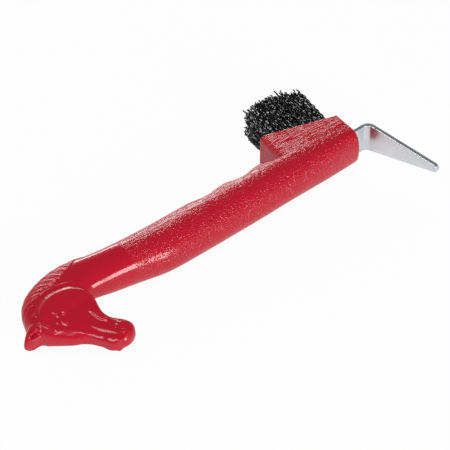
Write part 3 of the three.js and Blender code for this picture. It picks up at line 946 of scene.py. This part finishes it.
# Each lamp: azimuth from -Y towards +X and elevation in degrees, width and height in metres, and
# radiance.
LAMPS = {
    "front_strip": (3, 16, 0.28, 0.36, 12),
    "back_wall": (155, 5, 0.58, 0.22, 8),
    "back_wall_top": (143, 20, 0.19, 0.25, 2),
    "back_wall_corner": (154.5, 20, 0.18, 0.25, 7),
    "left_box": (-80, 62, 0.6, 0.3, 5.5),
}
LAMP_DISTANCE = 0.9
FLOOR_DROP = 0.2 * MM  # just under the pick, so the two never share a plane
# The tent's sides are pale up to the first of these heights, and its roof is dim from the second.
TENT_HEIGHTS = (0.1, 0.6)


def soft_box(name, azimuth, elevation, wide, high, radiance):
    """An area lamp that faces the pick."""
    azimuth, elevation = math.radians(azimuth), math.radians(elevation)
    way = Vector(
        (
            math.sin(azimuth) * math.cos(elevation),
            -math.cos(azimuth) * math.cos(elevation),
            math.sin(elevation),
        )
    )
    lamp = bpy.data.lights.new(name, "AREA")
    lamp.shape = "RECTANGLE"
    lamp.size, lamp.size_y = wide, high
    lamp.energy = radiance * math.pi * wide * high
    holder = bpy.data.objects.new(name, lamp)
    holder.location = way * LAMP_DISTANCE
    holder.rotation_euler = way.to_track_quat("Z", "Y").to_euler()
    bpy.context.scene.collection.objects.link(holder)
    return holder


def tent_world(stage):
    """A light tent: pale round the horizon, dim overhead."""
    world = bpy.data.worlds.new("light_tent")
    bpy.context.scene.world = world
    world.use_nodes = True
    tree = world.node_tree
    tree.nodes.clear()
    way = node(tree, "TexCoord").outputs["Generated"]
    up = node(tree, "SeparateXYZ", {0: way}).outputs[2]
    level = node(
        tree,
        "MapRange",
        {
            0: up,
            1: TENT_HEIGHTS[0],
            2: TENT_HEIGHTS[1],
            3: stage.horizon_level,
            4: stage.zenith_level,
        },
        interpolation_type="SMOOTHSTEP",
    ).outputs[0]
    sky = node(tree, "Background", {"Color": (1, 1, 1, 1), "Strength": level})
    node(tree, "OutputWorld", {"Surface": sky.outputs[0]})


def photo_camera():
    """The camera at the photograph's viewing angle."""
    a, e = CAMERA_AZIMUTH, CAMERA_ELEVATION
    back = Vector((math.sin(a) * math.cos(e), -math.cos(a) * math.cos(e), math.sin(e)))
    right = Vector((math.cos(a), math.sin(a), 0))
    up = back.cross(right)
    place = right * CAMERA_AIM.x - up * CAMERA_AIM.y + back * CAMERA_DISTANCE
    camera = bpy.data.cameras.new("photo_camera")
    camera.lens = CAMERA_LENS
    camera.sensor_width = CAMERA_SENSOR
    camera.clip_start, camera.clip_end = 0.05, 30
    holder = bpy.data.objects.new("photo_camera", camera)
    turn = Matrix((right, up, back)).transposed().to_4x4()
    holder.matrix_world = Matrix.Translation(place + Vector(ORIGIN)) @ turn
    bpy.context.scene.collection.objects.link(holder)
    bpy.context.scene.camera = holder


# Settings


class HandleSettings(bpy.types.PropertyGroup):
    grip_length: FloatProperty(
        name="Grip length", description="End face to the smooth neck", default=131 * MM, unit="LENGTH"
    )
    grip_width: FloatProperty(
        name="Grip width", description="Across the grip, in its mirror plane", default=24 * MM, unit="LENGTH"
    )
    grip_thickness: FloatProperty(
        name="Grip thickness", description="Across the mirror plane", default=24 * MM, unit="LENGTH"
    )
    groove_reach: FloatProperty(
        name="Groove reach", description="Half the length of a finger groove", default=10.6 * MM,
        unit="LENGTH",
    )
    groove_depth: FloatProperty(
        name="Groove depth", description="Depth of the deepest finger groove", default=3.4 * MM, unit="LENGTH"
    )
    head_reach: FloatProperty(
        name="Head reach", description="Grip to the tip of the ear", default=69 * MM, unit="LENGTH"
    )
    head_height: FloatProperty(
        name="Head height", description="Crest of the neck to the lip", default=57 * MM, unit="LENGTH"
    )
    head_thickness: FloatProperty(
        name="Head thickness", description="Across the cheeks", default=15.4 * MM, unit="LENGTH"
    )
    cheek_height: FloatProperty(
        name="Cheek height", description="How far the cheek stands up", default=0.85 * MM, unit="LENGTH"
    )
    mane_height: FloatProperty(
        name="Mane height", description="How far the mane stands up", default=0.55 * MM, unit="LENGTH"
    )
    mane_groove: FloatProperty(
        name="Mane groove", description="Depth between two strands", default=0.1 * MM, unit="LENGTH"
    )
    mane_strands: IntProperty(
        name="Mane strands", description="Strands in a lock", default=3
    )
    ear_hollow: FloatProperty(
        name="Ear hollow", description="Depth of the hollows as a share of the ear", default=0.08
    )
    block_length: FloatProperty(
        name="Block length", description="Along the brush block", default=38.2 * MM, unit="LENGTH"
    )
    block_foot: FloatProperty(
        name="Block foot", description="How far the back wall leans out", default=1.6 * MM, unit="LENGTH"
    )
    block_thickness: FloatProperty(
        name="Block thickness", description="Across the brush block", default=22 * MM, unit="LENGTH"
    )
    block_low: FloatProperty(
        name="Block low edge", description="Brush face above the strip, at the end face", default=11.6 * MM,
        unit="LENGTH",
    )
    block_high: FloatProperty(
        name="Block high edge", description="Brush face above the strip, at the back", default=24 * MM,
        unit="LENGTH",
    )
    block_corner: FloatProperty(
        name="Block corner", description="Round between the back wall and the sides", default=3 * MM,
        unit="LENGTH",
    )
    detail: FloatProperty(
        name="Detail", description="Side of a face of the moulding's mesh", default=0.33 * MM, unit="LENGTH"
    )
    faces: IntProperty(name="Faces", description="Triangles of the moulding's mesh", default=188000)


class PickSettings(bpy.types.PropertyGroup):
    strip_width: FloatProperty(
        name="Strip width", description="Width of the steel strip", default=16.9 * MM, unit="LENGTH"
    )
    strip_edge: FloatProperty(
        name="Edge radius", description="Round of the strip's edges", default=0.3 * MM, unit="LENGTH"
    )
    shank_length: FloatProperty(
        name="Shank length", description="Straight stretch outside the handle", default=6.5 * MM,
        unit="LENGTH",
    )
    bend_radius: FloatProperty(
        name="Bend radius", description="To the middle of the gauge", default=4.4 * MM, unit="LENGTH"
    )
    bend_angle: FloatProperty(
        name="Bend angle", description="How far the strip is bent", default=math.radians(73),
        subtype="ANGLE",
    )
    blade_length: FloatProperty(
        name="Blade length", description="Bend to tip", default=37.5 * MM, unit="LENGTH"
    )
    tip_width: FloatProperty(
        name="Tip width", description="Width of the round tip", default=5.2 * MM, unit="LENGTH"
    )


class BrushSettings(bpy.types.PropertyGroup):
    end_margin: FloatProperty(
        name="End margin", description="Bare face beside the end face", default=2.8 * MM, unit="LENGTH"
    )
    back_margin: FloatProperty(
        name="Back margin", description="Bare face beside the back wall", default=4.9 * MM, unit="LENGTH"
    )
    side_margin: FloatProperty(
        name="Side margin", description="Bare face along the sides", default=2.2 * MM, unit="LENGTH"
    )
    depth: FloatProperty(
        name="Root depth", description="Filaments start this far inside the block", default=1.5 * MM,
        unit="LENGTH",
    )
    tufts: IntProperty(name="Tufts", description="Tufts in a row", default=5)
    strands: IntProperty(name="Filaments", description="Filaments in a tuft", default=50)
    tuft_tilt: FloatProperty(
        name="Tilt", description="Tufts lean towards the pick", default=math.radians(3), subtype="ANGLE"
    )
    length: FloatProperty(
        name="Length", description="The longest filament above the face", default=27.4 * MM, unit="LENGTH"
    )
    strand_thickness: FloatProperty(
        name="Filament thickness", description="Diameter of a filament", default=0.74 * MM, unit="LENGTH"
    )
    crimp_pitch: FloatProperty(
        name="Crimp pitch", description="Length of one wave", default=3.6 * MM, unit="LENGTH"
    )
    crimp_depth: FloatProperty(
        name="Crimp depth", description="Height of a wave to one side", default=0.26 * MM, unit="LENGTH"
    )
    end_trim: FloatProperty(
        name="End trim", description="How much shorter the brush is cut at its ends", default=5.2 * MM,
        unit="LENGTH",
    )
    side_trim: FloatProperty(
        name="Side trim", description="How much shorter it is cut at its sides", default=2 * MM,
        unit="LENGTH",
    )
    end_gather: FloatProperty(
        name="End gather", description="Tips lean in by this at the ends", default=0.9 * MM, unit="LENGTH"
    )
    side_splay: FloatProperty(
        name="Side splay", description="Tips lean out sideways by this", default=1 * MM, unit="LENGTH"
    )
    wander: FloatProperty(
        name="Wander", description="How far a filament bows aside", default=0.35 * MM, unit="LENGTH"
    )
    uneven: FloatProperty(
        name="Uneven length", description="Spread of the filaments' lengths", default=0.8 * MM, unit="LENGTH"
    )
    stray_share: FloatProperty(
        name="Stray share", description="Share of filaments that stick out", default=0.05
    )


class FinishSettings(bpy.types.PropertyGroup):
    red: StringProperty(name="Red", description="Plastic, as sRGB hex", default="#C8102C")
    red_deep: StringProperty(
        name="Deep red", description="Plastic where it is denser, as sRGB hex", default="#BD0D25"
    )
    zinc: StringProperty(name="Zinc", description="Plating, as sRGB hex", default="#E6E8EC")
    zinc_dull: StringProperty(
        name="Dull zinc", description="Plating where it is cloudy, as sRGB hex", default="#D6DADF"
    )
    black: StringProperty(name="Black", description="Filament, as sRGB hex", default="#050507")
    # The pale filament colour below is a painted glint, flecked onto the crimps
    black_painted_glint: StringProperty(
        name="Glint black", description="Painted-glint filament, as sRGB hex", default="#E4E4E8"
    )
    wire: StringProperty(name="Wire", description="Anchor wire, as sRGB hex", default="#B9B3A4")


class StageSettings(bpy.types.PropertyGroup):
    floor_size: FloatProperty(
        name="Floor size", description="Side of the floor", default=8, unit="LENGTH"
    )
    floor_glow: FloatProperty(
        name="Floor glow", description="Share of the floor that shows as plain white", default=0.96
    )
    floor_mirrored: FloatProperty(
        name="Floor mirrored", description="How much of that shows in reflections", default=0.4
    )
    horizon_level: FloatProperty(
        name="Horizon level", description="Light of the tent's sides", default=0.55
    )
    zenith_level: FloatProperty(
        name="Zenith level", description="Light of the tent's roof", default=0.2
    )


# Operators


class HOOFPICK_OT_stage(bpy.types.Operator):
    """Sets the camera, the pale floor and the soft boxes"""

    bl_idname = "hoofpick.stage"
    bl_label = "Stage"

    def execute(self, context):
        stage = context.scene.hoofpick_stage
        context.scene.view_settings.view_transform = "Standard"
        photo_camera()
        half = stage.floor_size / 2
        turns = ((-1, -1), (1, -1), (1, 1), (-1, 1))
        corners = [(half * x, half * y, -FLOOR_DROP) for x, y in turns]
        floor = mesh_object("floor", corners, [(0, 1, 2, 3)])
        floor.data.materials.append(sweep_paper(stage))
        for name, settings in LAMPS.items():
            soft_box(name, *settings)
        tent_world(stage)
        return {"FINISHED"}


class HOOFPICK_OT_handle(bpy.types.Operator):
    """Builds the red moulding with its grip, brush block and horse's head"""

    bl_idname = "hoofpick.handle"
    bl_label = "Handle"

    def execute(self, context):
        sizes = context.scene.hoofpick_handle
        piece = handle_object(sizes)
        finish = moulded_polypropylene(context.scene.hoofpick_finish, sizes.mane_strands)
        piece.data.materials.append(finish)
        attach(piece, "root")
        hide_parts("handle")
        return {"FINISHED"}


class HOOFPICK_OT_pick(bpy.types.Operator):
    """Builds the bent steel strip"""

    bl_idname = "hoofpick.pick"
    bl_label = "Pick"

    def execute(self, context):
        piece = pick_object(context.scene.hoofpick_pick)
        piece.data.materials.append(zinc_plated_steel(context.scene.hoofpick_finish))
        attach(piece, "root")
        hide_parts("pick_blade")
        return {"FINISHED"}


class HOOFPICK_OT_bristles(bpy.types.Operator):
    """Builds the rows of crimped bristles"""

    bl_idname = "hoofpick.bristles"
    bl_label = "Bristles"

    def execute(self, context):
        handle, brush = context.scene.hoofpick_handle, context.scene.hoofpick_brush
        finish = crimped_filament(context.scene.hoofpick_finish)
        rows = sorted(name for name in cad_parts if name.startswith("bristle_row_"))
        rng = np.random.default_rng(BRISTLE_SEED)
        for row, name in enumerate(rows):
            piece = bristle_row_object(row, len(rows), handle, brush, rng)
            piece.data.materials.append(finish)
            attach(piece, "root")
            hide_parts(name)
        return {"FINISHED"}


class HOOFPICK_OT_anchors(bpy.types.Operator):
    """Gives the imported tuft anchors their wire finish"""

    bl_idname = "hoofpick.anchors"
    bl_label = "Tuft anchors"

    def execute(self, context):
        finish = galvanised_wire(context.scene.hoofpick_finish)
        for name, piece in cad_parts.items():
            if name.startswith("tuft_anchor_"):
                piece.data.materials.clear()
                piece.data.materials.append(finish)
        return {"FINISHED"}


class HOOFPICK_PT_panel(bpy.types.Panel):
    """Lists the pieces of the hoof pick"""

    bl_idname = "HOOFPICK_PT_panel"
    bl_label = "Hoof Pick"
    bl_space_type = "VIEW_3D"
    bl_region_type = "UI"
    bl_category = "Hoof Pick"

    def draw(self, context):
        for operator in OPERATORS:
            self.layout.operator(operator.bl_idname)
        for group in SETTINGS:
            settings = getattr(context.scene, group)
            for key in type(settings).__annotations__:
                self.layout.prop(settings, key)


SETTINGS = {
    "hoofpick_handle": HandleSettings,
    "hoofpick_pick": PickSettings,
    "hoofpick_brush": BrushSettings,
    "hoofpick_finish": FinishSettings,
    "hoofpick_stage": StageSettings,
}
OPERATORS = (
    HOOFPICK_OT_stage,
    HOOFPICK_OT_handle,
    HOOFPICK_OT_pick,
    HOOFPICK_OT_bristles,
    HOOFPICK_OT_anchors,
)


def register():
    for made in (*SETTINGS.values(), *OPERATORS, HOOFPICK_PT_panel):
        bpy.utils.register_class(made)
    for name, group in SETTINGS.items():
        setattr(bpy.types.Scene, name, PointerProperty(type=group))


def unregister():
    for name in SETTINGS:
        delattr(bpy.types.Scene, name)
    for made in reversed((*SETTINGS.values(), *OPERATORS, HOOFPICK_PT_panel)):
        bpy.utils.unregister_class(made)


def main():
    register()
    for operator in ("stage", "handle", "pick", "bristles", "anchors"):
        getattr(bpy.ops.hoofpick, operator)()


if __name__ == "__main__":
    main()
